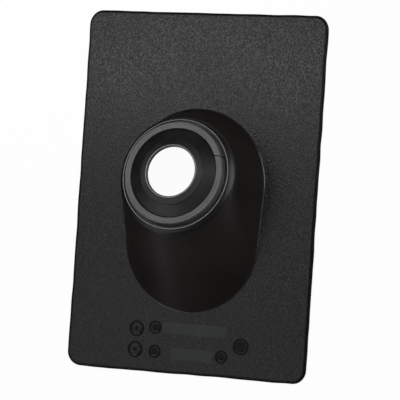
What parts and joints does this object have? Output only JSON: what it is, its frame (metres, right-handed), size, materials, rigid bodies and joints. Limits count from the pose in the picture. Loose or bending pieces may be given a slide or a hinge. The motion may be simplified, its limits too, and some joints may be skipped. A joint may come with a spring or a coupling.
{
  "type": "pipe flashing boot",
  "caption": "Roof flashing for a vent pipe: a flat grained sheet with a hollow raised boot, topped by a rubber collar held in a split ring.",
  "frame": {"origin": "centre of the sheet's underside, which lies on the roof", "axes": "+Y along the sheet's length, up the roof's slope; +Z out of the roof; +X across the slope"},
  "size_m": [0.235, 0.33, 0.0673],
  "materials": {
    "base_plastic": "pebble grain on the sheet, smooth satin on the boot",
    "collar_rubber": "smooth satin",
    "ring_plastic": "matte with fine streaks round the ring"
  },
  "bodies": {
    "root": {"base_boot": "base_plastic", "collar": "collar_rubber", "retaining_ring": "ring_plastic"}
  },
  "joints": []
}
